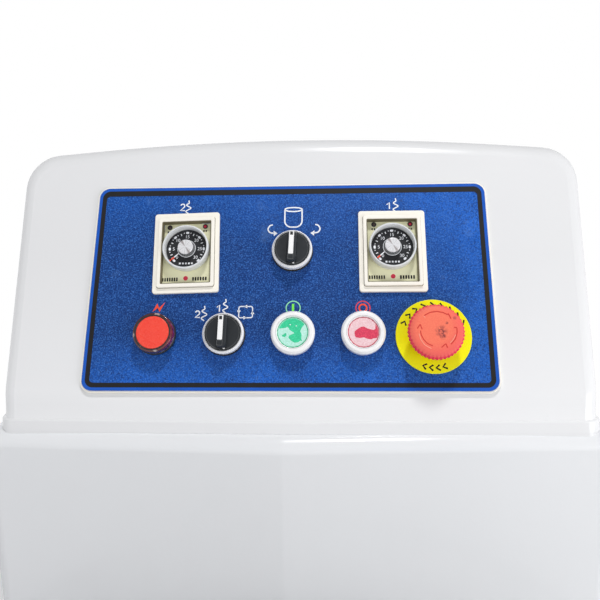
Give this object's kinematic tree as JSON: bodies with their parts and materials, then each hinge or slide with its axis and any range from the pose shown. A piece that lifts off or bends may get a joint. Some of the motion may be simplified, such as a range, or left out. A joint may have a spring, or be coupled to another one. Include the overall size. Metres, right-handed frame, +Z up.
{
  "type": "spiral dough mixer",
  "caption": "Floor-standing bakery dough mixer: white base, column and overhanging head, leaning blue control panel, turning steel bowl, spiral hook and wire guard.",
  "frame": {"origin": "on the floor under the middle of the machine's bounding box", "axes": "+X to the operator's right, +Y towards the back, +Z up; the control panel looks along -Y"},
  "size_m": [0.5224, 0.924, 1.0873],
  "materials": {
    "white_paint": "gloss white powder coat",
    "hood_plastic": "gloss white moulding",
    "stainless": "satin stainless steel",
    "cast_iron": "as cast, grey",
    "dark_steel": "oiled mild steel plate",
    "rubber": "matt black rubber",
    "motor_grey": "semi-gloss blue-grey enamel",
    "cream_plastic": "satin ivory plastic",
    "blue_film": "satin printed film, mottled",
    "timer_face": "satin grey-green",
    "clear_plastic": "clear acrylic over a black dial",
    "spun_aluminium": "spun, concentric marks",
    "white_plastic": "gloss white plastic",
    "black_plastic": "satin black plastic",
    "red_lens": "translucent red, satin front",
    "green_plastic": "worn green plastic",
    "pink_plastic": "faded red plastic with a dark worn patch",
    "mushroom_red": "satin coral red",
    "yellow_film": "satin yellow",
    "galvanised": "galvanised sheet"
  },
  "bodies": {
    "machine": {"base_cover": "white_paint", "base_plate": "dark_steel", "foot_front_left": "rubber", "foot_front_right": "rubber", "foot_rear_left": "rubber", "foot_rear_right": "rubber", "cable_gland": "black_plastic", "column_shell": "white_paint", "rear_cover": "white_paint", "head_shell": "white_paint", "head_underpan": "stainless", "head_frame": "dark_steel", "top_hood": "hood_plastic", "panel_plate": "cream_plastic", "panel_overlay": "blue_film", "lamp_body": "black_plastic", "lamp_lens": "red_lens", "speed_selector_body": "white_plastic", "bowl_selector_body": "white_plastic", "start_switch_body": "white_plastic", "stop_switch_body": "white_plastic", "estop_legend_ring": "yellow_film", "estop_base": "black_plastic", "timer_left_frame": "cream_plastic", "timer_left_case": "timer_face", "timer_right_frame": "cream_plastic", "timer_right_case": "timer_face", "electrics_deck": "galvanised", "contactor_bank": "black_plastic", "bowl_bearing_housing": "cast_iron", "spiral_belt": "rubber", "motor_belt": "rubber", "bowl_belt": "rubber", "jackshaft_bearing": "cast_iron", "main_motor": "motor_grey", "bowl_gearmotor": "motor_grey", "spiral_bearing_housing": "stainless", "breaker_bar": "stainless", "guard_hinge_left": "stainless", "guard_hinge_right": "stainless", "guard_switch": "black_plastic"},
    "bowl": {"bowl": "stainless", "bowl_turntable": "cast_iron"},
    "bowl_motor_pulley": {"bowl_motor_pulley": "cast_iron"},
    "spiral": {"spiral_hook": "stainless", "spiral_pulley": "cast_iron"},
    "jackshaft": {"jackshaft": "dark_steel", "jackshaft_pulley": "cast_iron"},
    "motor_pulley": {"motor_pulley": "cast_iron"},
    "guard": {"guard_cage": "stainless"},
    "start_button": {"start_button": "green_plastic"},
    "stop_button": {"stop_button": "pink_plastic"},
    "estop_stem": {"estop_stem": "black_plastic"},
    "estop_mushroom": {"estop_mushroom": "mushroom_red"},
    "speed_selector_knob": {"speed_selector_knob": "black_plastic"},
    "bowl_selector_knob": {"bowl_selector_knob": "black_plastic"},
    "timer_left_pointer": {"timer_left_dial": "clear_plastic", "timer_left_cap": "spun_aluminium"},
    "timer_right_pointer": {"timer_right_dial": "clear_plastic", "timer_right_cap": "spun_aluminium"}
  },
  "joints": [
    {"name": "bowl_spin", "type": "hinge", "parent": "machine", "child": "bowl", "pos_m": [0, -0.15, 0.25], "axis": [0, 0, 1], "continuous": true},
    {"name": "bowl_motor_spin", "type": "hinge", "parent": "machine", "child": "bowl_motor_pulley", "pos_m": [0, 0.3, 0.165], "axis": [0, 0, 1], "continuous": true},
    {"name": "spiral_spin", "type": "hinge", "parent": "machine", "child": "spiral", "pos_m": [-0.105, -0.095, 0.7], "axis": [0, 0, 1], "continuous": true},
    {"name": "jackshaft_spin", "type": "hinge", "parent": "machine", "child": "jackshaft", "pos_m": [0.04, 0.095, 0.76], "axis": [0, 0, 1], "continuous": true},
    {"name": "motor_spin", "type": "hinge", "parent": "machine", "child": "motor_pulley", "pos_m": [0, 0.3, 0.79], "axis": [0, 0, 1], "continuous": true},
    {"name": "guard_hinge", "type": "hinge", "parent": "machine", "child": "guard", "pos_m": [0, -0.23, 0.68], "axis": [-1, 0, 0], "range_deg": [0, 80]},
    {"name": "start_push", "type": "slide", "parent": "machine", "child": "start_button", "axis": [0, 0.8988, -0.4384], "range_m": [0, 0.003], "stiffness_N_per_m": 400, "springref_m": -0.003},
    {"name": "stop_push", "type": "slide", "parent": "machine", "child": "stop_button", "axis": [0, 0.8988, -0.4384], "range_m": [0, 0.003], "stiffness_N_per_m": 400, "springref_m": -0.003},
    {"name": "estop_push", "type": "slide", "parent": "machine", "child": "estop_stem", "axis": [0, 0.8988, -0.4384], "range_m": [0, 0.0035]},
    {"name": "estop_twist", "type": "hinge", "parent": "estop_stem", "child": "estop_mushroom", "pos_m": [0.1092, -0.196, 0.93768], "axis": [0, 0.8988, -0.4384], "range_deg": [0, 35], "stiffness_Nm_per_rad": 0.02},
    {"name": "speed_select", "type": "hinge", "parent": "machine", "child": "speed_selector_knob", "pos_m": [-0.0555, -0.18447, 0.93395], "axis": [0, 0.8988, -0.4384], "range_deg": [-45, 45]},
    {"name": "bowl_select", "type": "hinge", "parent": "machine", "child": "bowl_selector_knob", "pos_m": [-0.0019, -0.154, 0.99641], "axis": [0, 0.8988, -0.4384], "range_deg": [-45, 45]},
    {"name": "timer_left_set", "type": "hinge", "parent": "machine", "child": "timer_left_pointer", "pos_m": [-0.0895, -0.15273, 0.99902], "axis": [0, 0.8988, -0.4384], "range_deg": [0, 300]},
    {"name": "timer_right_set", "type": "hinge", "parent": "machine", "child": "timer_right_pointer", "pos_m": [0.0795, -0.15273, 0.99902], "axis": [0, 0.8988, -0.4384], "range_deg": [0, 300]}
  ],
  "couplings": [
    {"joint": "jackshaft_spin", "follows": "spiral_spin", "ratio": 2.3333},
    {"joint": "motor_spin", "follows": "spiral_spin", "ratio": 6.6667},
    {"joint": "bowl_motor_spin", "follows": "bowl_spin", "ratio": 5}
  ]
}
